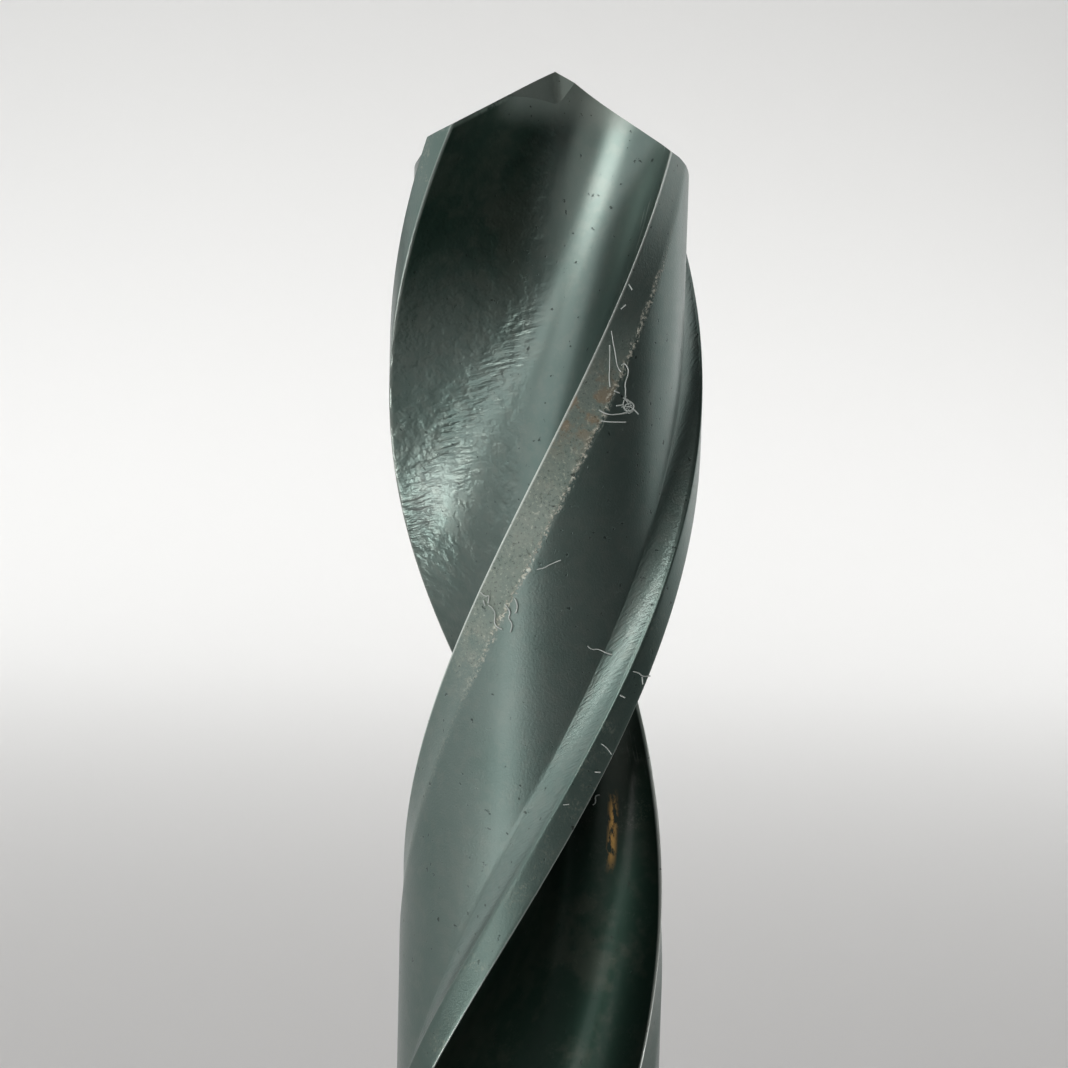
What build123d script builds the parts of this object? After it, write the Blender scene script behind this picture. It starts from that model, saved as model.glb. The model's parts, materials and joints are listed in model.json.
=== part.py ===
from build123d import *
from math import acos, asin, cos, degrees, pi, radians, sin, sqrt, tan
import os

# Twist drill bit: a right-hand, two-flute jobber drill of steam-tempered high-speed steel.
# Millimetres. The drill stands on its shank end with the point up, and its axis is Z.
# The front of the drill, where one flute shows its lip, faces -Y.

# ---------------------------------------------------------------- driving dimensions
diameter = 6.0                # cutting diameter, measured over the two margins at the point
shank_diameter = 5.97         # a few hundredths under size, so that it slides into a chuck
overall_length = 93.0         # shank end to chisel edge
flute_length = 57.0           # chisel edge to the end of the flute run-out
shank_chamfer = 0.35

# the twisted body
helix_angle = 28.9            # of the margin's leading edge
web_thickness = 1.02          # metal left between the two flutes
land_angle = 84.0             # from a land's leading edge back to its heel
margin_width = 0.56           # narrow strip that keeps the full diameter
back_taper = 0.0008           # diameter that the margins lose for each millimetre down
body_clearance = 0.40         # how far the land behind the margin is ground away
hollow_radius = 0.80          # of the hollow between the margin and the ground land
hollow_sink = 0.03            # how far the hollow's circle dips below the land
heel_strip_width = 0.72       # flat strip ground along the heel
heel_drop = 0.05              # how far the heel sinks below the ground land
runout_length = 14.0          # where the flute floor climbs out to the full diameter
runout_floor = 0.40           # radius from which the floor starts to climb, inside the web

# the point
point_angle = 125.0           # between the two lips
flank_cone_angle = 122.0      # full angle of the cone that each flank is ground on
flank_set_back = 1.80         # from the foot of the lip to the top of that cone
flank_tilt = 11.0             # slope of the flank straight behind the lip
lip_azimuth = -135.5          # direction of the front lip, from +X

# the web thinning: a notch ground into each flute beside the chisel edge
notch_offset = 0.09           # from the axis to the start of the notch
notch_tilt = 35.0             # between the bottom of the notch and the axis
notch_azimuth = -82.0         # direction in which the front notch runs out, from +X
notch_lip_side = 58.0         # opening towards the lip
notch_heel_side = 72.0        # opening towards the heel

# ---------------------------------------------------------------- derived sizes
radius = diameter / 2
half_web = web_thickness / 2
shank_radius = shank_diameter / 2
clearance_radius = radius - body_clearance
heel_radius = clearance_radius - heel_drop
overrun = body_clearance      # how far a section or a bar reaches past what trims it
lead = pi * diameter / tan(radians(helix_angle))
shank_length = overall_length - flute_length
lip_slope = 1 / tan(radians(point_angle / 2))

# angles round the cross-section, from the land's leading edge
margin_end = -degrees(margin_width / radius)
hollow_reach = clearance_radius - hollow_sink + hollow_radius
hollow_spread = (hollow_reach ** 2 + radius ** 2 - hollow_radius ** 2) / (2 * hollow_reach * radius)
hollow_angle = margin_end - degrees(acos(hollow_spread))
strip_start = degrees(heel_strip_width / clearance_radius) - land_angle
rib_front = (180 - land_angle) / 4


def polar(length, angle):
    """A point of the cross-section; the front land's leading edge is at angle 0."""
    return Vector(length * cos(radians(angle)), length * sin(radians(angle)))


# ---------------------------------------------------------------- the point's cones
# In the lip's own frame X runs out along the lip, Y points the way the lip cuts, and Z is
# the drill's axis. The lip stands half the web ahead of the axis.
half_point = radians(point_angle / 2)
half_cone = radians(flank_cone_angle / 2)
lip_run = Vector(sin(half_point), 0, -cos(half_point))
flank_run = Vector(0, -cos(radians(flank_tilt)), -sin(radians(flank_tilt)))
flank_normal = flank_run.cross(lip_run).normalized()
cone_axis = lip_run * cos(half_cone) - flank_normal * sin(half_cone)
cone_top = Vector(0, half_web, 0) - lip_run * flank_set_back


def flank_height(x, y):
    """Height of the flank cone over a plan point of the lip's frame."""
    dx = x - cone_top.X
    dy = y - cone_top.Y
    along = cone_axis.X * dx + cone_axis.Y * dy
    spread = cos(half_cone) ** 2
    a = cone_axis.Z ** 2 - spread
    b = 2 * cone_axis.Z * along
    c = along ** 2 - spread * (dx ** 2 + dy ** 2)
    root = sqrt(b * b - 4 * a * c)
    roots = [(-b + root) / (2 * a), (-b - root) / (2 * a)]
    return cone_top.Z + max(z for z in roots if along + cone_axis.Z * z > 0)


# The chisel edge's middle is the top of the drill, so the cones are lifted by what the
# flank has already dropped where it crosses the axis.
lift = -flank_height(0, 0)
lip_reach = sqrt(radius ** 2 - half_web ** 2)
corner_depth = lip_reach * lip_slope - lift
lead_at_tip = lip_azimuth + degrees(asin(half_web / radius)) + 360 * corner_depth / lead

# ---------------------------------------------------------------- cross-section
# The section has two parts. The core has the flutes and the heel strips, and a rib carries
# each margin. Their outsides run past the round bars that they are trimmed with, so that
# the lands come out as a true cylinder, and the margins as a cone with the back taper.


def rake_point(length):
    """Section point that lies on the straight lip once the section has been twisted."""
    reach = sqrt(length ** 2 - half_web ** 2)
    turn = degrees(asin(half_web / length) - asin(half_web / radius))
    return polar(length, turn - 360 * (lip_reach - reach) * lip_slope / lead)


flute_floor = rake_point(half_web)
floor_run = Vector(-flute_floor.Y, flute_floor.X)
rake_radii = [radius + overrun, radius, radius * 0.8, radius * 0.55, radius * 0.35, radius * 0.22]
rake_points = [rake_point(length) for length in rake_radii] + [flute_floor]
rake_curve = Spline(rake_points, tangents=[rake_points[1] - rake_points[0], floor_run])
heel = polar(heel_radius, -land_angle)
heel_curve = TangentArc(flute_floor, -heel, tangent=floor_run)

strip_run = (polar(clearance_radius, strip_start) - heel).normalized()
strip_line = Line(heel, heel + strip_run * heel_strip_width * 2)
outside = ThreePointArc(strip_line @ 1, polar(radius + overrun, hollow_angle), rake_points[0])
half_core = [rake_curve, heel_curve, strip_line, outside]
core_face = make_face(Curve() + half_core + [Rot(0, 0, 180) * edge for edge in half_core])

hollow = CenterArc(polar(hollow_reach, hollow_angle), hollow_radius, hollow_angle + 180, -90)
rib_outer = polar(radius + overrun, rib_front)
rib_inner = polar(hollow_reach - hollow_radius, rib_front)
rib_face = make_face(Curve() + [hollow, Polyline(hollow @ 1, rib_outer, rib_inner, hollow @ 0)])

# ---------------------------------------------------------------- twisted body and shank
turns = 360 * flute_length / lead


def twist(face):
    """A face of the cross-section, carried up the flutes' length along their helix."""
    start = Pos(0, 0, shank_length) * Rot(0, 0, lead_at_tip - turns) * face
    return Solid.extrude_linear_with_rotation(
        section=start.face(),
        center=(0, 0, shank_length),
        normal=(0, 0, flute_length),
        angle=turns,
    )


bar_length = flute_length + 2 * overrun
bar_middle = Pos(0, 0, shank_length + flute_length / 2)
bar_taper = back_taper / 2 * bar_length
land_bar = bar_middle * Cylinder(clearance_radius, bar_length)
margin_bar = bar_middle * Cone(radius - bar_taper, radius, bar_length)

rib = twist(rib_face) & margin_bar
ground_bar = land_bar + rib + Rot(0, 0, 180) * rib
twisted = twist(core_face) & ground_bar

# The flute floor climbs to the surface along the arc of the grinding wheel.
runout_top = shank_length + runout_length
runout_arc = TangentArc((runout_floor, 0, runout_top), (shank_radius, 0, shank_length),
                        tangent=(0, 0, -1))
runout_side = Polyline((shank_radius, 0, shank_length), (0, 0, shank_length),
                       (0, 0, runout_top), (runout_floor, 0, runout_top))
runout = revolve(make_face(Curve() + [runout_arc, runout_side]), Axis.Z)

shank = Pos(0, 0, shank_length / 2) * Cylinder(shank_radius, shank_length)
shank = chamfer(shank.faces().sort_by(Axis.Z)[0].edges(), shank_chamfer)
blank = shank + runout + twisted

# ---------------------------------------------------------------- grinding the point
cone_height = overall_length + flute_length
cone_base = cone_height * tan(half_cone)
cone_plane = Plane(origin=cone_top + Vector(0, 0, lift), x_dir=(0, 1, 0), z_dir=cone_axis)
cone = cone_plane * Cone(0, cone_base, cone_height, align=(Align.CENTER, Align.CENTER, Align.MIN))
flank = Pos(0, 0, overall_length) * Rot(0, 0, lip_azimuth) * cone
opposite_flank = Rot(0, 0, 180) * flank

notch_out = Vector(cos(radians(notch_azimuth)), sin(radians(notch_azimuth)))
notch_run = notch_out * sin(radians(notch_tilt)) - Vector(0, 0, cos(radians(notch_tilt)))
notch_start = notch_out * notch_offset + Vector(0, 0, overall_length)
notch_across = Vector(-notch_out.Y, notch_out.X)
notch_plane = Plane(origin=notch_start, x_dir=notch_across, z_dir=notch_run)
lip_side = Vector(-sin(radians(notch_lip_side)), cos(radians(notch_lip_side)))
heel_side = Vector(sin(radians(notch_heel_side)), cos(radians(notch_heel_side)))
notch_face = make_face(Polyline((0, 0), lip_side * diameter, heel_side * diameter, close=True))
notch = extrude(notch_plane * notch_face, diameter, both=True)
opposite_notch = Rot(0, 0, 180) * notch

drill = blank & flank & opposite_flank
drill = drill - notch - opposite_notch
drill.label = "twist_drill"

os.makedirs("parts", exist_ok=True)
export_step(drill, "parts/twist_drill.step")
print("twist_drill:", drill.volume, "mm3,", len(drill.faces()), "faces, valid", drill.is_valid)
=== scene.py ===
# %% [markdown]
# # A twist drill bit
# A twist drill is one bar of high-speed steel. Two flutes are ground along a helix, the land
# between them is relieved so that only a narrow margin rubs, and the point is ground to two
# lips. The whole bar is then steam tempered, which leaves a thin dark grey-green oxide.
# This script dresses the CAD frame: it first loads that frame, which fixes every size.

# %% Load the frame
import json
import random
from math import acos, asin, atan2, cos, degrees, pi, radians, sin, sqrt, tan

import bmesh
import bpy
from mathutils import Matrix, Vector
from mathutils.bvhtree import BVHTree

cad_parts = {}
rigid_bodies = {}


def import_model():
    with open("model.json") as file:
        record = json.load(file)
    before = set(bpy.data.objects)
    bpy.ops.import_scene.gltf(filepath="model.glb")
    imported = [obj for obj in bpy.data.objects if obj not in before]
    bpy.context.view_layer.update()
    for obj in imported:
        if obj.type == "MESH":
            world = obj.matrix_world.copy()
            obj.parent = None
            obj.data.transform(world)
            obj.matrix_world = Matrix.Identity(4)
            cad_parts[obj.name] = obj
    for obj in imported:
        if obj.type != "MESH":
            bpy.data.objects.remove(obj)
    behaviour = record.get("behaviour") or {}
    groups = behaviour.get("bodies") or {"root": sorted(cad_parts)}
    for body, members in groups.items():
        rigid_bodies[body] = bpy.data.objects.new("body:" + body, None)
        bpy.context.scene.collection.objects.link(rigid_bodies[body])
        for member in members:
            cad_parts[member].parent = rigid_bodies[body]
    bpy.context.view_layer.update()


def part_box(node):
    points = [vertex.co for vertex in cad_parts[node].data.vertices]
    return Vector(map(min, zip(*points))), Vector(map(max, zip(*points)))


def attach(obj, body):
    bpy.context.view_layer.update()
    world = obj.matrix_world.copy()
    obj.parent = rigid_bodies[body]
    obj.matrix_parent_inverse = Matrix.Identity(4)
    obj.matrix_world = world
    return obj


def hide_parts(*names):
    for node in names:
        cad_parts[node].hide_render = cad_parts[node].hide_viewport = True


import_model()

MM = 0.001
drill_low, drill_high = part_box("twist_drill")
overall_length = (drill_high[2] - drill_low[2]) / MM
print("drill box in mm:", [round(v / MM, 3) for v in (*drill_low, *drill_high)])

# %% [markdown]
# ## The drill's own sizes
# A drill is described by a handful of numbers, and all of them are in millimetres here. The
# cross-section is the same at every height and only turns, so most sizes are angles round
# that section, counted from a land's leading edge, the edge that follows the cutting lip.

# %% Sizes of the twisted body and the point
diameter = 6.0              # over the two margins, at the point
shank_diameter = 5.97
flute_length = 57.0
shank_chamfer = 0.35
helix_angle = 28.9
web_thickness = 1.02        # metal left between the flutes
land_angle = 84.0           # from a land's leading edge back to its heel
margin_width = 0.56
back_taper = 0.0008         # diameter lost for each millimetre down
body_clearance = 0.40       # how far the land is ground away behind the margin
hollow_radius = 0.80
hollow_sink = 0.03
heel_strip_width = 0.72
heel_drop = 0.05
runout_length = 14.0
runout_floor = 0.40         # radius from which the flute's floor starts to climb

point_angle = 125.0         # between the two lips
flank_cone_angle = 122.0
flank_set_back = 1.80       # from the foot of a lip to the top of its flank's cone
flank_tilt = 11.0           # slope straight behind the lip
lip_azimuth = -135.5

notch_offset = 0.09         # from the axis to the start of the web thinning
notch_tilt = 35.0
notch_azimuth = -82.0
notch_lip_side = 58.0       # opening towards the lip
notch_heel_side = 72.0      # opening towards the heel

radius = diameter / 2
half_web = web_thickness / 2
land_radius = radius - body_clearance
shank_length = overall_length - flute_length
lead = pi * diameter / tan(radians(helix_angle))
lip_slope = 1 / tan(radians(point_angle / 2))
print("lead of the helix: %.2f mm, shank: %.2f mm" % (lead, shank_length))

# %% [markdown]
# ## Where the point's cones stand
# Each flank behind a lip is a piece of a cone, because the drill is swung against the flat
# side of a grinding wheel. In the lip's own frame X runs out along the lip, Y points the way
# the lip cuts and Z is the drill's axis. The cone's height over any plan point comes from its
# own quadratic, and that says how deep the corner of the lip lies under the chisel edge.

# %% The flank cone and the lip's corner
half_point = radians(point_angle / 2)
half_cone = radians(flank_cone_angle / 2)
lip_run = Vector((sin(half_point), 0, -cos(half_point)))
flank_run = Vector((0, -cos(radians(flank_tilt)), -sin(radians(flank_tilt))))
flank_normal = flank_run.cross(lip_run).normalized()
cone_axis = lip_run * cos(half_cone) - flank_normal * sin(half_cone)
cone_top = Vector((0, half_web, 0)) - lip_run * flank_set_back


def flank_height(x, y):
    """Height of the flank cone over a plan point of the lip's frame."""
    dx, dy = x - cone_top.x, y - cone_top.y
    along = cone_axis.x * dx + cone_axis.y * dy
    spread = cos(half_cone) ** 2
    a = cone_axis.z ** 2 - spread
    b = 2 * cone_axis.z * along
    c = along ** 2 - spread * (dx ** 2 + dy ** 2)
    root = sqrt(b * b - 4 * a * c)
    heights = [(-b + root) / (2 * a), (-b - root) / (2 * a)]
    return cone_top.z + max(z for z in heights if along + cone_axis.z * z > 0)


lift = -flank_height(0, 0)
lip_reach = sqrt(radius ** 2 - half_web ** 2)
corner_depth = lip_reach * lip_slope - lift
lead_at_tip = lip_azimuth + degrees(asin(half_web / radius)) + 360 * corner_depth / lead
print("lip corner %.3f mm under the chisel edge" % corner_depth)

# %% [markdown]
# ## The camera
# The view is a close one, level with the point and looking slightly down, so that the lands
# sweep across the view. The camera's place and turn are written in the drill's own frame.

# %% Camera
image_size = 1068
view_distance = 31.0        # from the drill's axis
view_drop = 6.078           # the camera's height under the tip
view_yaw, view_pitch, view_roll = -0.005, -0.086, 0.026
focal_pixels = 1607.55

forward = Vector((sin(view_yaw) * cos(view_pitch), cos(view_yaw) * cos(view_pitch), sin(view_pitch)))
right = Vector((cos(view_yaw), -sin(view_yaw), 0))
up = right.cross(forward)
view_right = right * cos(view_roll) + up * sin(view_roll)
view_up = up * cos(view_roll) - right * sin(view_roll)
eye = Vector((0, -view_distance, overall_length - view_drop))

camera_data = bpy.data.cameras.new("camera")
camera_data.sensor_width = 36.0
camera_data.lens = camera_data.sensor_width * focal_pixels / image_size
camera_data.clip_start = 0.001
camera_data.clip_end = 20
camera = bpy.data.objects.new("camera", camera_data)
camera.matrix_world = Matrix((view_right, view_up, -forward)).transposed().to_4x4()
camera.location = eye * MM
bpy.context.scene.collection.objects.link(camera)
bpy.context.scene.camera = camera
bpy.context.view_layer.update()
print("lens %.1f mm, eye at %s mm" % (camera_data.lens, [round(c, 1) for c in eye]))

# %% [markdown]
# ## The cross-section
# The outline of half the section is a chain of curves: the rake face of the flute, which must
# leave the lip straight once it is twisted, the flute's round back up to the heel, a flat
# strip along the heel, the relieved land, a hollow, and the margin. A small round at each
# corner stands for the worn edge, and it is what catches the light as a fine line. The other
# half is the same outline turned by half a turn.

# %% Outline of the section


def polar(length, angle):
    """A point of the section; the front land's leading edge is at angle 0."""
    return Vector((length * cos(radians(angle)), length * sin(radians(angle)), 0))


def rake_point(length):
    """Section point that lies on the straight lip once the section has been twisted."""
    reach = sqrt(length ** 2 - half_web ** 2)
    turn = degrees(asin(half_web / length) - asin(half_web / radius))
    return polar(length, turn - 360 * (lip_reach - reach) * lip_slope / lead)


def arc(center, arc_radius, start, sweep, count):
    """Points of a round stretch, from its start angle on."""
    return [center + polar(arc_radius, start + sweep * k / count) for k in range(count + 1)]


def tangent_arc(start, end, run, count):
    """Points of the arc that leaves start along run and reaches end."""
    side = Vector((-run.y, run.x, 0)).normalized()
    chord = end - start
    arc_radius = chord.length_squared / (2 * chord.dot(side))
    center = start + side * arc_radius
    first, last = start - center, end - center
    sweep = degrees(first.xy.angle_signed(last.xy)) * -1
    begin = degrees(atan2(first.y, first.x))
    return arc(center, first.length, begin, sweep, count)


def round_corner(before, corner, after, size, count=3):
    """A small round in place of a corner, touching both runs at the given distance."""
    first = corner + (before - corner).normalized() * size
    last = corner + (after - corner).normalized() * size
    steps = [k / count for k in range(count + 1)]
    return [first * (1 - t) ** 2 + corner * 2 * t * (1 - t) + last * t ** 2 for t in steps]


margin_end = -degrees(margin_width / radius)
hollow_reach = land_radius - hollow_sink + hollow_radius
hollow_spread = (hollow_reach ** 2 + radius ** 2 - hollow_radius ** 2) / (2 * hollow_reach * radius)
hollow_angle = margin_end - degrees(acos(hollow_spread))
hollow_center = polar(hollow_reach, hollow_angle)
strip_start = degrees(heel_strip_width / land_radius) - land_angle

flute_floor = rake_point(half_web)
floor_run = Vector((-flute_floor.y, flute_floor.x, 0))
heel = polar(land_radius - heel_drop, -land_angle)
edge_wear = 0.035           # how far the round on a margin's edge reaches along each side
heel_wear = 0.045           # the same at the heel

rake_steps = 30
rake_stretch = [(k / rake_steps) ** 1.6 for k in range(rake_steps + 1)]
rake = [rake_point(half_web + (radius - half_web) * t) for t in rake_stretch]
back = tangent_arc(flute_floor, -heel, floor_run, 26)
origin = Vector((0, 0, 0))
margin = arc(origin, radius, 0, margin_end, 5)


def turn_to(target):
    """Angle at the hollow's centre between the drill's axis and its point at a radius."""
    return degrees(acos((hollow_reach ** 2 + hollow_radius ** 2 - target ** 2)
                        / (2 * hollow_reach * hollow_radius)))


hollow_start = hollow_angle + 180 - turn_to(radius)
hollow = arc(hollow_center, hollow_radius, hollow_start, turn_to(radius) - turn_to(land_radius), 9)
hollow_foot = degrees(atan2(hollow[-1].y, hollow[-1].x))
land = arc(origin, land_radius, hollow_foot, strip_start - hollow_foot, 20)
strip = [land[-1].lerp(heel, k / 6) for k in range(7)]
far_back = [-point for point in reversed(back)]

half_ring = (rake[:-1] + round_corner(rake[-2], rake[-1], margin[1], edge_wear)
             + margin[1:-1] + round_corner(margin[-2], margin[-1], hollow[1], edge_wear)
             + hollow[1:] + land[1:] + strip[1:-1]
             + round_corner(strip[-2], heel, far_back[1], heel_wear) + far_back[1:-1])
print("points round the section:", 2 * len(half_ring))

# %% [markdown]
# ## The twisted body
# A helix is a turn and a climb at once, and that is what the spin operator does when it is
# given a step along its axis. The section starts inside the shank and ends above the point,
# so that both ends are trimmed cleanly later. The margins then lose a few hundredths of a
# millimetre towards the shank, as on a real drill, so that they don't bind in a deep hole.

# %% Spin the section along the helix
spin_steps = 330
sunk_end = 0.6              # of the twisted body, inside the shank
spare_top = 0.25            # above the chisel edge, which the point's cones take away


def close_loop(mesh, loop):
    """Edges round a closed ring of vertices."""
    return [mesh.edges.new((loop[k - 1], loop[k])) for k in range(len(loop))]


def twisted_body():
    """The fluted body, spun from the section and closed at both ends."""
    mesh = bmesh.new()
    points = half_ring + [-point for point in half_ring]
    ring = [mesh.verts.new(point) for point in points]
    edges = close_loop(mesh, ring)
    length = flute_length + sunk_end + spare_top
    turn = 360 * length / lead
    bmesh.ops.rotate(mesh, verts=ring, matrix=Matrix.Rotation(
        radians(lead_at_tip - 360 * (flute_length + sunk_end) / lead), 3, "Z"))
    bmesh.ops.translate(mesh, verts=ring, vec=(0, 0, shank_length - sunk_end))
    bmesh.ops.contextual_create(mesh, geom=edges)
    spun = bmesh.ops.spin(mesh, geom=ring + edges, axis=(0, 0, 1), dvec=(0, 0, length / spin_steps),
                          angle=radians(turn), steps=spin_steps, use_merge=False)
    last = [item for item in spun["geom_last"] if isinstance(item, bmesh.types.BMEdge)]
    bmesh.ops.contextual_create(mesh, geom=last)
    for vert in mesh.verts:
        reach = vert.co.xy.length
        raised = max(reach - land_radius, 0) / body_clearance
        lost = back_taper / 2 * (overall_length - vert.co.z) * raised
        vert.co.xy *= 1 - lost / reach
    bmesh.ops.recalc_face_normals(mesh, faces=mesh.faces)
    return mesh


# %% [markdown]
# ## The shank and the flutes' run-out
# The plain shank and the long slope where the grinding wheel left the flutes are turned
# shapes, so they are one profile spun round the axis. The run-out is an arc of the wheel: it
# leaves the flute's floor along the drill and climbs to the outside.

# %% Turn the shank
runout_top = shank_length + runout_length
slope_steps, wall_steps, round_steps = 24, 12, 144


def turned_shank():
    """The shank with its chamfer, and the climbing floor of the run-out above it."""
    shank_radius = shank_diameter / 2
    climb = shank_radius - runout_floor
    wheel = (runout_length ** 2 + climb ** 2) / (2 * climb)
    sweep = asin(runout_length / wheel)
    angles = [sweep * k / slope_steps for k in range(slope_steps + 1)]
    slope = [(runout_floor + wheel * (1 - cos(a)), runout_top - wheel * sin(a)) for a in angles]
    wall = [(shank_radius, shank_length * k / wall_steps) for k in range(wall_steps - 1, 0, -1)]
    chamfer = [(shank_radius, shank_chamfer), (shank_radius - shank_chamfer, 0)]
    profile = [(0, runout_top)] + slope + wall + chamfer + [(0, 0)]
    mesh = bmesh.new()
    verts = [mesh.verts.new((reach, 0, height)) for reach, height in profile]
    edges = [mesh.edges.new(pair) for pair in zip(verts, verts[1:])]
    bmesh.ops.spin(mesh, geom=verts + edges, axis=(0, 0, 1), angle=radians(360), steps=round_steps,
                   use_merge=True)
    bmesh.ops.remove_doubles(mesh, verts=mesh.verts, dist=1e-5)
    bmesh.ops.recalc_face_normals(mesh, faces=mesh.faces)
    return mesh


# %% [markdown]
# ## Joining and cutting
# The body and the shank are one bar, and the point is what two cones and two notches leave of
# it. A Boolean modifier does each of these, and its result is kept as a plain mesh, so that
# the finished drill doesn't depend on any tool object.

# %% Boolean steps
wheel_corner = 0.10         # radius that the thinning wheel leaves in its notch
cone_sides = 256


def as_object(name, mesh):
    """A mesh in millimetres as an object in the scene."""
    data = bpy.data.meshes.new(name)
    mesh.to_mesh(data)
    mesh.free()
    made = bpy.data.objects.new(name, data)
    bpy.context.scene.collection.objects.link(made)
    return made


def combine(work, tool, operation):
    """Applies one Boolean to the work and removes the tool."""
    step = work.modifiers.new(operation.lower(), "BOOLEAN")
    step.operation = operation
    step.solver = "MANIFOLD"
    step.object = tool
    bpy.context.view_layer.update()
    done = bpy.data.meshes.new_from_object(work.evaluated_get(bpy.context.evaluated_depsgraph_get()))
    work.modifiers.clear()
    work.data = done
    bpy.data.objects.remove(tool)
    print(operation.lower(), "leaves", len(done.vertices), "vertices")


def flank_cone():
    """The cone that one flank is ground on, as a solid that reaches past the drill."""
    depth = overall_length + flute_length
    mesh = bmesh.new()
    bmesh.ops.create_cone(mesh, cap_ends=True, segments=cone_sides, radius1=0,
                          radius2=depth * tan(half_cone), depth=depth)
    bmesh.ops.remove_doubles(mesh, verts=mesh.verts, dist=1e-5)
    bmesh.ops.translate(mesh, verts=mesh.verts, vec=(0, 0, depth / 2))
    place = (Matrix.Translation((0, 0, overall_length)) @ Matrix.Rotation(radians(lip_azimuth), 4, "Z")
             @ Matrix.Translation(cone_top + Vector((0, 0, lift)))
             @ cone_axis.to_track_quat("Z", "Y").to_matrix().to_4x4())
    bmesh.ops.transform(mesh, matrix=place, verts=mesh.verts)
    bmesh.ops.recalc_face_normals(mesh, faces=mesh.faces)
    return mesh


def thinning_notch():
    """The wheel's wedge that thins the web beside the chisel edge."""
    across = Vector((-sin(radians(notch_azimuth)), cos(radians(notch_azimuth)), 0))
    outward = Vector((cos(radians(notch_azimuth)), sin(radians(notch_azimuth)), 0))
    run = outward * sin(radians(notch_tilt)) - Vector((0, 0, cos(radians(notch_tilt))))
    rise = run.cross(across)
    start = outward * notch_offset + Vector((0, 0, overall_length)) - run * diameter
    lip_side = rise * cos(radians(notch_lip_side)) - across * sin(radians(notch_lip_side))
    heel_side = rise * cos(radians(notch_heel_side)) + across * sin(radians(notch_heel_side))
    mesh = bmesh.new()
    corners = [mesh.verts.new(start + side * diameter) for side in (origin, lip_side, heel_side)]
    wedge = mesh.faces.new(corners)
    pushed = bmesh.ops.extrude_face_region(mesh, geom=[wedge])["geom"]
    moved = [item for item in pushed if isinstance(item, bmesh.types.BMVert)]
    bmesh.ops.translate(mesh, verts=moved, vec=run * 2 * diameter)
    valley = [edge for edge in mesh.edges
              if all((vert.co - start).cross(run).length < 1e-4 for vert in edge.verts)]
    bmesh.ops.bevel(mesh, geom=valley, offset=wheel_corner, affect="EDGES", segments=5,
                    profile=0.5, material=-1)
    bmesh.ops.recalc_face_normals(mesh, faces=mesh.faces)
    return mesh


half_turn = Matrix.Rotation(pi, 4, "Z")
drill = as_object("drill", twisted_body())
print("spun body:", len(drill.data.polygons), "faces")
combine(drill, as_object("shank", turned_shank()), "UNION")
for make_tool, operation in ((flank_cone, "INTERSECT"), (thinning_notch, "DIFFERENCE")):
    for place in (Matrix.Identity(4), half_turn):
        tool = make_tool()
        bmesh.ops.transform(tool, matrix=place, verts=tool.verts)
        combine(drill, as_object("tool", tool), operation)

# %% [markdown]
# ## Finishing the mesh
# The Boolean leaves doubled points along its cuts. They are merged, the mesh is scaled to
# metres and its faces are shaded smooth, with a sharp edge kept wherever two faces meet at a
# real corner, such as a lip or the rim of a flank.

# %% Merge, scale and shade
sharp_angle = radians(34)
flank_drop = 0.20           # how much lower use and grinding left the middle of each flank's rim
drop_height = 1.1           # the height over which that drop fades out down the land
drop_top = overall_length - corner_depth - 0.4


def ramp(value, low, high):
    """0 below low, 1 above high, with a soft change between them."""
    part = min(max((value - low) / (high - low), 0), 1)
    return part * part * (3 - 2 * part)


def lower_rims(mesh):
    """Lets each flank fall away more steeply behind its margin than a true cone does."""
    for vert in mesh.verts:
        x, y, z = vert.co
        reach = sqrt(x * x + y * y)
        behind = (lead_at_tip - (overall_length - z) * 360 / lead - degrees(atan2(y, x))) % 180
        middle = ramp(behind, 10, 36) * (1 - ramp(behind, 52, 78)) * ramp(reach, 1.6, 2.5)
        vert.co.z -= flank_drop * middle * ramp(z, drop_top - drop_height, drop_top)


def finish_mesh(piece):
    """Merges doubles, goes to metres and keeps the real corners sharp."""
    mesh = bmesh.new()
    mesh.from_mesh(piece.data)
    bmesh.ops.remove_doubles(mesh, verts=mesh.verts, dist=0.0008)
    bmesh.ops.dissolve_degenerate(mesh, edges=mesh.edges, dist=0.0005)
    lower_rims(mesh)
    bmesh.ops.scale(mesh, vec=(MM, MM, MM), verts=mesh.verts)
    bmesh.ops.triangulate(mesh, faces=[face for face in mesh.faces if len(face.verts) > 4])
    for face in mesh.faces:
        face.smooth = True
    for edge in mesh.edges:
        edge.smooth = edge.calc_face_angle(0) < sharp_angle
    loose = sum(1 for edge in mesh.edges if len(edge.link_faces) != 2)
    print(piece.name, len(mesh.faces), "faces,", loose, "open edges, volume",
          round(mesh.calc_volume() / MM ** 3, 2), "mm3")
    mesh.to_mesh(piece.data)
    mesh.free()


finish_mesh(drill)
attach(drill, "root")
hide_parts("twist_drill")

# %% [markdown]
# ## Shader maths as plain expressions
# A finish is easier to read as a formula than as a tangle of nodes. A small class wraps a
# socket so that Python's own operators add Math nodes, and every other node comes from one
# method, which sets a node's options first and then its sockets.

# %% Sockets that can be added and multiplied


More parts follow.
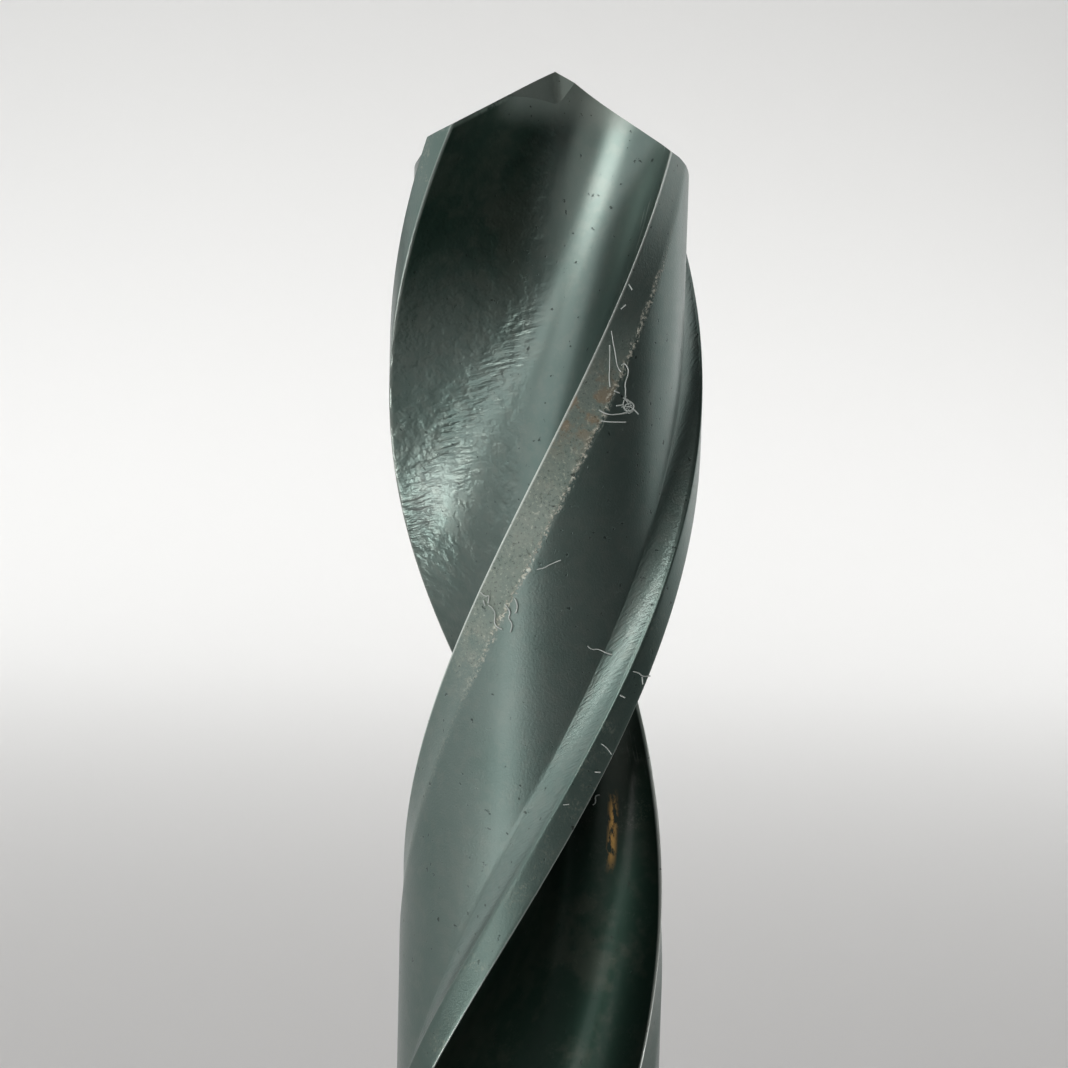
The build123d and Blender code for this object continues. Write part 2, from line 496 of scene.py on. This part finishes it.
class Field:
    """A shader socket that takes part in Python expressions."""

    def __init__(self, finish, socket):
        self.finish, self.socket = finish, socket

    def math(self, operation, first, second=0.0):
        return self.finish.node("ShaderNodeMath", {"operation": operation}, {0: first, 1: second})

    def __add__(self, other):
        return self.math("ADD", self, other)

    def __sub__(self, other):
        return self.math("SUBTRACT", self, other)

    def __rsub__(self, other):
        return self.math("SUBTRACT", other, self)

    def __mul__(self, other):
        return self.math("MULTIPLY", self, other)

    def __truediv__(self, other):
        return self.math("DIVIDE", self, other)

    def __rtruediv__(self, other):
        return self.math("DIVIDE", other, self)

    def __mod__(self, other):
        return self.math("FLOORED_MODULO", self, other)

    def __pow__(self, other):
        return self.math("POWER", self, other)

    def __abs__(self):
        return self.math("ABSOLUTE", self)

    __radd__ = __add__
    __rmul__ = __mul__


class Finish:
    """One material, built from expressions on its object's coordinates."""

    def __init__(self, name):
        self.material = bpy.data.materials.new(name)
        self.material.use_nodes = True
        self.tree = self.material.node_tree
        self.shader = self.tree.nodes["Principled BSDF"]

    def node(self, kind, settings=None, sockets=None, out=0):
        """Adds a node, sets its options, then its sockets, and returns one of its outputs."""
        made = self.tree.nodes.new(kind)
        for option, value in (settings or {}).items():
            setattr(made, option, value)
        for key, value in (sockets or {}).items():
            if isinstance(value, Field):
                self.tree.links.new(value.socket, made.inputs[key])
            else:
                made.inputs[key].default_value = value
        return Field(self, made.outputs[out])

    def feed(self, name, value):
        """Gives the shader one of its sockets, as a constant or as a field."""
        if isinstance(value, Field):
            self.tree.links.new(value.socket, self.shader.inputs[name])
        else:
            self.shader.inputs[name].default_value = value

    def step(self, value, low, high):
        """0 below low, 1 above high, with a soft change between them."""
        return self.node("ShaderNodeMapRange", {"interpolation_type": "SMOOTHSTEP"},
                         {"Value": value, "From Min": low, "From Max": high})

    def band(self, value, low, high, soft):
        """1 between low and high, with soft sides."""
        above = self.step(value, low - soft, low + soft)
        return above * (1 - self.step(value, high - soft, high + soft))

    def blend(self, amount, under, over):
        """One colour laid over another."""
        return self.node("ShaderNodeMix", {"data_type": "RGBA"}, {0: amount, 6: under, 7: over}, out=2)

    def place(self, x, y, z):
        """A vector from three fields."""
        return self.node("ShaderNodeCombineXYZ", {}, {0: x, 1: y, 2: z})

    def noise(self, place, scale, detail=2.0, roughness=0.5):
        """Smooth noise about 0.5."""
        return self.node("ShaderNodeTexNoise", {}, {"Vector": place, "Scale": scale,
                                                    "Detail": detail, "Roughness": roughness})


# %% [markdown]
# ## Coordinates that follow the flutes
# Grinding marks, wear and dust on a drill follow its helix. So the finish works in the
# drill's own coordinates, in millimetres: the height over the tip, the distance from the
# axis, and how far a point lies behind its land's leading edge. That angle stays the same all
# along a helix, so a stripe of it is a stripe along the land. The rake wall lies right at
# the angle's zero, so round the flute it is counted on past 180 degrees instead.

# %% Coordinates on the drill
steel = Finish("steam_tempered_steel")
step, band, noise, blend, place = steel.step, steel.band, steel.noise, steel.blend, steel.place

sides = steel.node("ShaderNodeTexCoord", out=3)
x, y, z = (steel.node("ShaderNodeSeparateXYZ", {}, {0: sides}, out=axis) / MM for axis in range(3))
spot = place(x, y, z)
rise = z - overall_length
reach = (x * x + y * y) ** 0.5
around = x.math("ARCTAN2", y, x) * degrees(1)
behind = (lead_at_tip + rise * (360 / lead) - around) % 180
round_flute = (behind - 5) % 180 + 5
turned = round_flute * radians(1)
along_lip = 0 - reach * turned.math("COSINE", turned)
off_lip = reach * turned.math("SINE", turned)
print("coordinates take", len(steel.tree.nodes), "nodes")

# %% [markdown]
# ## Zones of the surface
# Each part of a drill is ground in another pass, so each has its own look: the flutes, the
# margins, the hollow behind a margin, and the flat strip along the heel. Soft masks tell them
# apart by reach and angle, with a few hundredths of a millimetre for the change. The shank is
# left out by its height, since its angle means nothing.

# %% Masks
strip_ridge = -strip_start
twisted = step(z, shank_length + 2, shank_length + 6)
edge_wall = step(round_flute, 172, 176) * (1 - step(reach, radius - 0.05, radius - 0.02))
outside = step(reach, land_radius - 0.14, land_radius - 0.07) * (1 - edge_wall)
in_flute = (1 - outside) * twisted
on_margin = step(reach, radius - 0.08, radius - 0.03)
on_hollow = (1 - step(behind, -hollow_foot - 0.6, -hollow_foot + 0.6)) * outside * (1 - on_margin)
on_strip = band(behind, strip_ridge, land_angle + 2, 0.4) * outside * twisted
print("the strip begins %.1f degrees behind the leading edge" % strip_ridge)

# %% [markdown]
# ## Oxide and painted shade
# Steam tempering grows a thin oxide, which is grey-green and slightly uneven. The flutes get
# painted shade: more than about ten millimetres below the point they are painted near-black,
# and nearer the point only a stretch of the rake side is, in place of the shade and dark
# reflections there. A band of the flute some twelve to fifteen millimetres down is painted
# darkest, as painted shadow, and the margins are painted darker as painted shade. The web
# thinning was ground last, so it is lighter. Two scales of noise break all of it up, so that no
# border looks drawn.

# %% Oxide, painted shade and thinned web
clouds = noise(spot, 0.5, 3.0, 0.6)
mottle = noise(spot, 3.5, 4.0, 0.6)
oxide = blend(step(clouds, 0.35, 0.65), (0.130, 0.186, 0.168, 1), (0.152, 0.204, 0.186, 1))
oxide = blend(step(mottle, 0.45, 0.65) * 0.25, oxide, (0.205, 0.235, 0.210, 1))
# Painted shade: near-black tones stand in for the shade and dark reflections in the flutes.
painted_shade_spread = step(clouds + mottle * 0.4, 0.62, 0.80)
painted_shade_colour = blend(painted_shade_spread, (0.008, 0.028, 0.018, 1), (0.030, 0.044, 0.032, 1))

above_painted_shade = step(rise + mottle * 2, -13, -9)
painted_rake_shade = step(round_flute, 126, 178) * in_flute * step(rise, -6.2, -2.9)
painted_low_shade = in_flute * (1 - above_painted_shade)
painted_shade = painted_low_shade.math("MAXIMUM", painted_low_shade, painted_rake_shade)
thinned = step(rise, -1.30, -0.55) * (1 - step(reach, 1.4, 2.1))
# Painted shadow: a band of the flute 12 to 15 mm under the point is painted almost black.
painted_flute_shadow = band(rise, -15.2, -12.0, 0.9) * in_flute

# The flutes' painted shade is laid over the oxide here, less where the web is thinned.
colour = blend(painted_shade * (1 - thinned * 0.9) * 0.93, oxide, painted_shade_colour)
colour = blend(thinned * in_flute * 0.6, colour, (0.34, 0.40, 0.36, 1))
colour = blend(painted_flute_shadow * 0.7, colour, (0.005, 0.012, 0.008, 1))
# Painted shade: the margins are painted darker.
colour = blend(on_margin * 0.45, colour, (0.05, 0.09, 0.075, 1))
print("with the oxide,", len(steel.tree.nodes), "nodes")

# %% [markdown]
# ## The dusty strip along the heel
# The strip at the heel never touches the hole's wall, so swarf dust and a trace of rust stay
# on it, mostly over a few millimetres below the point. The grit is a fine noise cut twice:
# its high end gives pale grains, its low end gives the dark gaps between them.

# %% Dust on the strip
dusty = on_strip * (0.1 + 0.9 * band(rise + mottle * 2, -9.8, -4.4, 1.0))
grit = noise(spot, 15.0, 4.0, 0.75)
stain = band(rise, -6.8, -5.6, 0.5) * step(mottle, 0.46, 0.60)
colour = blend(dusty * (0.05 + mottle * 0.55), colour, (0.32, 0.36, 0.30, 1))
colour = blend(dusty * step(grit, 0.56, 0.66) * 0.40, colour, (0.58, 0.60, 0.50, 1))
colour = blend(dusty * (1 - step(grit, 0.34, 0.44)) * 0.60, colour, (0.05, 0.06, 0.045, 1))
colour = blend(dusty * stain * 0.45, colour, (0.30, 0.16, 0.06, 1))

# %% [markdown]
# ## Wear and painted highlights
# Where two ground faces meet, the edge is painted as a bright line: partly the oxide rubbed
# through to bare steel, partly a painted highlight along the edge. Chips also leave a rubbed
# line right under each lip and fine scratches where they turn by the heel, and one flute has
# taken a smear of brass. All of these are thin masks on the same coordinates, so they follow
# the edges wherever those go.

# %% Worn edges with painted highlights, scratches and brass
heel_wear_and_highlight = band(behind, land_angle - 1.1, land_angle + 0.8, 0.5) * step(reach, 2.38, 2.46) * twisted
lead_wear_and_highlight = (1 - step(behind, 0.3, 0.9) + step(behind, 179.4, 179.8)) * on_margin * twisted
# Bright line on the edges: worn bare steel and painted highlight.
colour = blend(heel_wear_and_highlight * 0.9 + lead_wear_and_highlight * 0.3, colour, (0.66, 0.72, 0.68, 1))

over_lip = rise - lift + (reach * reach - half_web ** 2) ** 0.5 * lip_slope
under_lip = step(over_lip, -0.13, -0.05) * step(round_flute, 172, 176) * step(reach, 0.9, 1.4)
colour = blend(under_lip * step(mottle, 0.35, 0.55) * 0.6, colour, (0.30, 0.35, 0.32, 1))

scratch_field = noise(place(along_lip * 18, off_lip * 18, z * 1.5), 1.0, 2.0, 0.5)
scratches = step(scratch_field, 0.60, 0.70) * (1 - step(round_flute, 84, 96)) * in_flute
scratches = scratches * step(reach, 1.9, 2.1) * above_painted_shade * step(clouds, 0.45, 0.55)
colour = blend(scratches * 0.55, colour, (0.50, 0.56, 0.53, 1))

streaks = noise(place(reach * 9, x * 4, z * 3.5), 1.0, 3.0, 0.6)
brass = band(reach - (z - 78) * 0.14, 1.60, 1.72, 0.07) * band(z, 77.7, 78.8, 0.3)
brass = brass * step(x, 1.0, 1.2) * step(streaks, 0.42, 0.56)
colour = blend(brass * 0.8, colour, (0.62, 0.36, 0.10, 1))
print("with the wear,", len(steel.tree.nodes), "nodes")

# %% [markdown]
# ## Grain of the grinding
# The steel is matt because it is rough on a scale of microns: a stipple from blasting, fine
# rings from turning the shank between wheels, and brushed lines in the hollow. Where the
# flute's wheel chattered it left short ripples, which run across the flute in a slanting
# band. Noise that is squeezed along one axis gives each of them, and only their height is
# used, so the light finds them by itself.

# %% Height of the grain
stipple = noise(spot, 26.0, 2.0, 0.6)
rings = noise(place(x * 0.2, y * 0.2, z * 14), 1.0, 4.0, 0.7)
rings = rings * (1 - twisted * 0.75) * (1 - in_flute)
brushed = noise(place(behind * 0.25, reach * 6, z * 16 + behind * 0.9), 1.0, 3.0, 0.6)
dents = step(noise(spot, 2.2, 3.0, 0.6), 0.35, 0.65) * in_flute * above_painted_shade * step(round_flute, 126, 150)

ripples = noise(place(along_lip * 2.1, off_lip * 2.1, z * 9.5 + along_lip * 2.2), 1.0, 2.0, 0.5)
ripple_patches = step(noise(place(along_lip, off_lip, z), 0.9, 2.0, 0.6), 0.40, 0.62)
ragged = (mottle - 0.5) * 1.3 + (clouds - 0.5) * 0.8
chatter = band(reach + (rise + 4.8) * 0.56 + ragged, 0.20, 0.95, 0.30)
chatter = chatter * step(round_flute, 104, 128) * step(reach, 0.40, 0.60) * in_flute * above_painted_shade
chatter = chatter * (0.25 + ripple_patches * 0.75)

height = stipple * (0.0046 * (1 - in_flute * 0.8)) + (ripples - 0.5) * chatter * 0.080
height = height + dents * 0.011 + brushed * on_hollow * 0.013 + rings * 0.006

# %% [markdown]
# ## Pits, loose dust and painted glints
# A few pits go through the oxide, and dust gathers in a line where the heel strip meets the
# land, because a finger can't wipe that corner clean. The line wanders with the mottling and
# holds a few painted glints, bright specks that stand in for light catching the grains. Dust
# isn't metal, so it also takes the shine away.

# %% Pits, dust, painted glints and the shader's sockets
pits = 1 - step(noise(spot, 8.0, 2.0, 0.5), 0.25, 0.31)
colour = blend(pits * 0.7, colour, (0.020, 0.028, 0.024, 1))

ridge_wander = strip_ridge + (mottle - 0.5) * 5
dusty_height = band(rise + clouds * 2, -9.9, -2.4, 0.8)
ridge = (1 - step(abs(behind - ridge_wander), 0.4, 2.0)) * outside * twisted * (0.15 + dusty_height * 0.85)
speckle = step(noise(spot, 19.0, 3.0, 0.7), 0.48, 0.60)
painted_glints = step(noise(spot, 13.0, 2.0, 0.6), 0.575, 0.62)
dust_film = step(noise(spot, 1.6, 4.0, 0.7), 0.50, 0.80) * (dusty * 0.5 + on_margin * 0.3 + 0.06)
dust = ridge * speckle * 0.8 + dust_film * speckle
colour = blend(dust, colour, (0.42, 0.42, 0.35, 1))
# Painted glints: bright specks in the dust line stand in for light catching its grains.
colour = blend(ridge * painted_glints * dusty_height * 0.55, colour, (0.72, 0.74, 0.64, 1))
height = height + dust * 0.005 - pits * 0.004 + grit * dusty * 0.006

gloss_loss = stipple * 0.08 + dust * 0.35 + dusty * 0.30 + painted_shade * 0.06 + rings * 0.10
bump = steel.node("ShaderNodeBump", {}, {"Strength": 1.0, "Distance": MM, "Height": height})
steel.feed("Base Color", colour)
steel.feed("Metallic", 0.95 - dust * 0.8 - on_strip * 0.1)
steel.feed("Roughness", 0.31 + gloss_loss + thinned * in_flute * 0.22)
steel.feed("Coat Weight", 0.25)
steel.feed("Coat Roughness", 0.20)
steel.feed("Normal", bump)
drill.data.materials.clear()
drill.data.materials.append(steel.material)
print("steel has", len(steel.tree.nodes), "nodes")

# %% [markdown]
# ## Lint and dust
# A drill that has lain in a drawer picks up fibres, and they are what makes its size felt.
# Each fibre is a smooth curve with a round bevel, and the curve is then kept as a mesh. Its
# points are given in the camera's own pixels and dropped on the steel along the line of
# sight, so that every fibre really lies on the drill.

# %% Fibres on the steel
fibre_radius = 0.013
fluff_scale = 4000.0        # in a metre, since the lint's own coordinates are metres
fibres = [
    [(610.6, 331), (612.3, 340), (614.6, 356), (617, 368), (620, 372)],
    [(609.5, 345), (609.5, 365), (608.3, 379), (609, 387)],
    [(620.4, 365.5), (623.2, 362.6), (626, 368), (627.8, 374.6), (622.7, 383.8), (625, 390.7),
     (624.4, 400)],
    [(624.4, 400), (629, 404), (626, 409), (631, 411), (627, 414), (623, 408), (630, 406)],
    [(625, 412.6), (613.5, 415), (604, 414), (598.5, 410)],
    [(625, 422), (607.7, 422.4), (600.8, 420.7)],
    [(614.6, 405.7), (622.7, 404.6)],
    [(622, 398), (629, 401), (633, 406), (628, 412), (622, 409), (625, 403), (632, 403)],
    [(626, 396), (621, 403), (624, 411), (631, 413), (634, 408), (629, 405)],
    [(620, 407), (627, 406), (632, 409), (636, 414)],
    [(624, 413), (629, 409), (630, 402), (626, 399)],
    [(628.4, 284), (631, 290)],
    [(619, 309), (624, 305)],
    [(613.5, 391), (619, 393)],
    [(537, 569), (544, 568), (551, 563.4), (560.5, 560)],
    [(489, 605), (493.5, 608), (496.3, 614), (494.6, 624), (499, 628), (502.7, 629)],
    [(484, 600), (486, 606)],
    [(482, 592), (487, 597), (491, 594), (489, 603)],
    [(586.7, 645.6), (591, 650), (598, 648.5), (605, 653), (612, 655)],
    [(631.5, 671), (637, 672), (642, 677), (648.7, 675.5)],
    [(641, 677), (642, 684)],
    [(619, 695), (623, 697)],
    [(600.8, 743.6), (606.6, 747), (610.5, 754)],
    [(599, 795), (593, 795), (595, 803), (592, 805)],
    [(563, 804.5), (568.7, 804)],
    [(594, 771.5), (599, 771.5)],
    [(506, 604), (512, 611), (508, 618), (514, 624), (511, 632)],
    [(515, 598), (520, 606), (516, 613)],
]
steel_tree = BVHTree.FromObject(drill, bpy.context.evaluated_depsgraph_get())


def on_steel(column, row, lift_off):
    """The drill's point under one pixel of the camera, raised a little off the steel."""
    middle = image_size / 2
    sight = forward * focal_pixels + view_right * (column - middle) - view_up * (row - middle)
    found, normal, _, _ = steel_tree.ray_cast(eye * MM, sight.normalized())
    return None if found is None else found + normal * lift_off * MM


def jumps(spots):
    """The distances between a fibre's points, in millimetres."""
    return [(after - before).length / MM for before, after in zip(spots, spots[1:])]


def lint_mesh():
    """All the fibres as bevelled curves, turned into one mesh."""
    luck = random.Random(7)
    longest = 0
    data = bpy.data.curves.new("lint", "CURVE")
    data.dimensions = "3D"
    data.bevel_depth = fibre_radius * MM
    data.bevel_resolution = 1
    data.resolution_u = 5
    data.use_fill_caps = True
    for path in fibres:
        spots = [on_steel(column, row, luck.uniform(0.01, 0.07)) for column, row in path]
        spots = [spot for spot in spots if spot]
        longest = max([longest] + jumps(spots))
        spline = data.splines.new("NURBS")
        spline.points.add(len(spots) - 1)
        for point, spot in zip(spline.points, spots):
            point.co = (*spot, 1)
            point.radius = luck.uniform(0.7, 1.15)
        spline.order_u = 3
        spline.use_endpoint_u = True
    curve = bpy.data.objects.new("lint_curve", data)
    bpy.context.scene.collection.objects.link(curve)
    bpy.context.view_layer.update()
    made = bpy.data.meshes.new_from_object(curve.evaluated_get(bpy.context.evaluated_depsgraph_get()))
    bpy.data.objects.remove(curve)
    print("longest step along a fibre:", round(longest, 2), "mm")
    return made


lint = bpy.data.objects.new("lint", lint_mesh())
bpy.context.scene.collection.objects.link(lint)
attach(lint, "root")
cotton = Finish("lint_fibre")
fluff = cotton.noise(cotton.node("ShaderNodeTexCoord", out=3), fluff_scale)
cotton.feed("Base Color", cotton.blend(fluff, (0.30, 0.36, 0.34, 1), (0.52, 0.56, 0.53, 1)))
cotton.feed("Roughness", 0.8)
lint.data.materials.clear()
lint.data.materials.append(cotton.material)
print("lint:", len(fibres), "fibres,", len(lint.data.polygons), "faces")

# %% [markdown]
# ## The studio
# A pale sheet lies under the drill and rises behind it without a corner, so nothing in it
# draws the eye. It is one line of edges, extruded sideways, and plain matt paper in colour.

# %% Floor and backdrop
sheet_front, sheet_back = -0.70, 0.75       # in metres, like all of the studio
sheet_bend, sheet_height, sheet_half = 0.30, 1.10, 0.80


def studio_sheet():
    """A floor that curves up into a wall, as one swept sheet."""
    mesh = bmesh.new()
    bend = [(sheet_back - sheet_bend * (1 - sin(radians(a))), sheet_bend * (1 - cos(radians(a))))
            for a in range(0, 91, 5)]
    path = [(sheet_front, 0)] + bend + [(sheet_back, sheet_height)]
    verts = [mesh.verts.new((-sheet_half, y, z)) for y, z in path]
    edges = [mesh.edges.new(pair) for pair in zip(verts, verts[1:])]
    swept = bmesh.ops.extrude_edge_only(mesh, edges=edges)["geom"]
    moved = [item for item in swept if isinstance(item, bmesh.types.BMVert)]
    bmesh.ops.translate(mesh, vec=(2 * sheet_half, 0, 0), verts=moved)
    for face in mesh.faces:
        face.smooth = True
    return mesh


backdrop = as_object("backdrop", studio_sheet())
paper = Finish("paper")
paper.feed("Base Color", (0.78, 0.78, 0.77, 1))
paper.feed("Roughness", 0.9)
backdrop.data.materials.append(paper.material)

# %% [markdown]
# ## The lamps
# Satin steel is seen by what it mirrors. A soft key stands high in front on the left, a tall
# panel beside it, and a weaker one behind on the right lights the far edge, so the right of
# the drill falls away into shade and its forms read clearly. A narrow strip and a small
# reflector below pick out the flute's wall. The wall and floor have lamps of their own, whose
# beams are kept narrow, so that a pale background puts no extra light on the steel. A lamp's
# power is worked out from how bright its face should look, its size and how narrow its beam
# is, because a narrow beam would otherwise look brighter.

# %% Lamps


def softbox(name, azimuth, elevation, distance, size, radiance, target, grid=180, roll=0, tint=(1, 1, 1)):
    """A soft lamp aimed at a target; azimuth 0 is the camera's side, and minus is its left."""
    data = bpy.data.lights.new(name, "AREA")
    data.shape = "RECTANGLE"
    data.size, data.size_y = size
    shade = radians(180 - grid) / 2
    data.energy = radiance * pi * size[0] * size[1] * (1 - tan(shade) * (pi / 2 - shade))
    data.spread = radians(grid)
    data.color = tint
    lamp = bpy.data.objects.new(name, data)
    bpy.context.scene.collection.objects.link(lamp)
    out = Vector((sin(radians(azimuth)) * cos(radians(elevation)),
                  -cos(radians(azimuth)) * cos(radians(elevation)), sin(radians(elevation))))
    lamp.location = target + out * distance
    aim = out.to_track_quat("Z", "Y").to_matrix() @ Matrix.Rotation(radians(roll), 3, "Z")
    lamp.rotation_euler = aim.to_euler()
    lamp.visible_camera = False
    return lamp


near_point = Vector((0, 0, overall_length - 8)) * MM
softbox("key", -21, 31, 0.50, (0.27, 0.18), 7.6, near_point, grid=90, tint=(1, 0.93, 0.92))
softbox("left_panel", -82, 14, 0.55, (1.12, 0.70), 1.10, near_point)
softbox("rim_panel", 121, 11, 0.60, (0.52, 0.46), 0.8, near_point)
softbox("front_card", 26, 19, 0.45, (0.36, 0.15), 0.9, near_point, grid=120, tint=(1, 0.96, 0.93))
softbox("strip_light", -22, -10, 0.13, (0.036, 0.13), 2.4, near_point, grid=100, roll=-30)
softbox("low_reflector", -50, -44, 0.10, (0.030, 0.030), 9.0, near_point, grid=90, tint=(1, 0.94, 0.93))
softbox("wall_wash", 0, 50, 0.62, (1.3, 0.25), 6.5, Vector((0, 0.70, 0.16)), grid=85)
softbox("floor_wash", 0, 90, 0.45, (1.2, 0.45), 2.5, Vector((0, 0.46, 0)), grid=90)
world = bpy.data.worlds.new("studio")
world.use_nodes = True
world.node_tree.nodes["Background"].inputs["Color"].default_value = (0.035, 0.035, 0.035, 1)
bpy.context.scene.world = world
bpy.context.scene.view_settings.view_transform = "Standard"
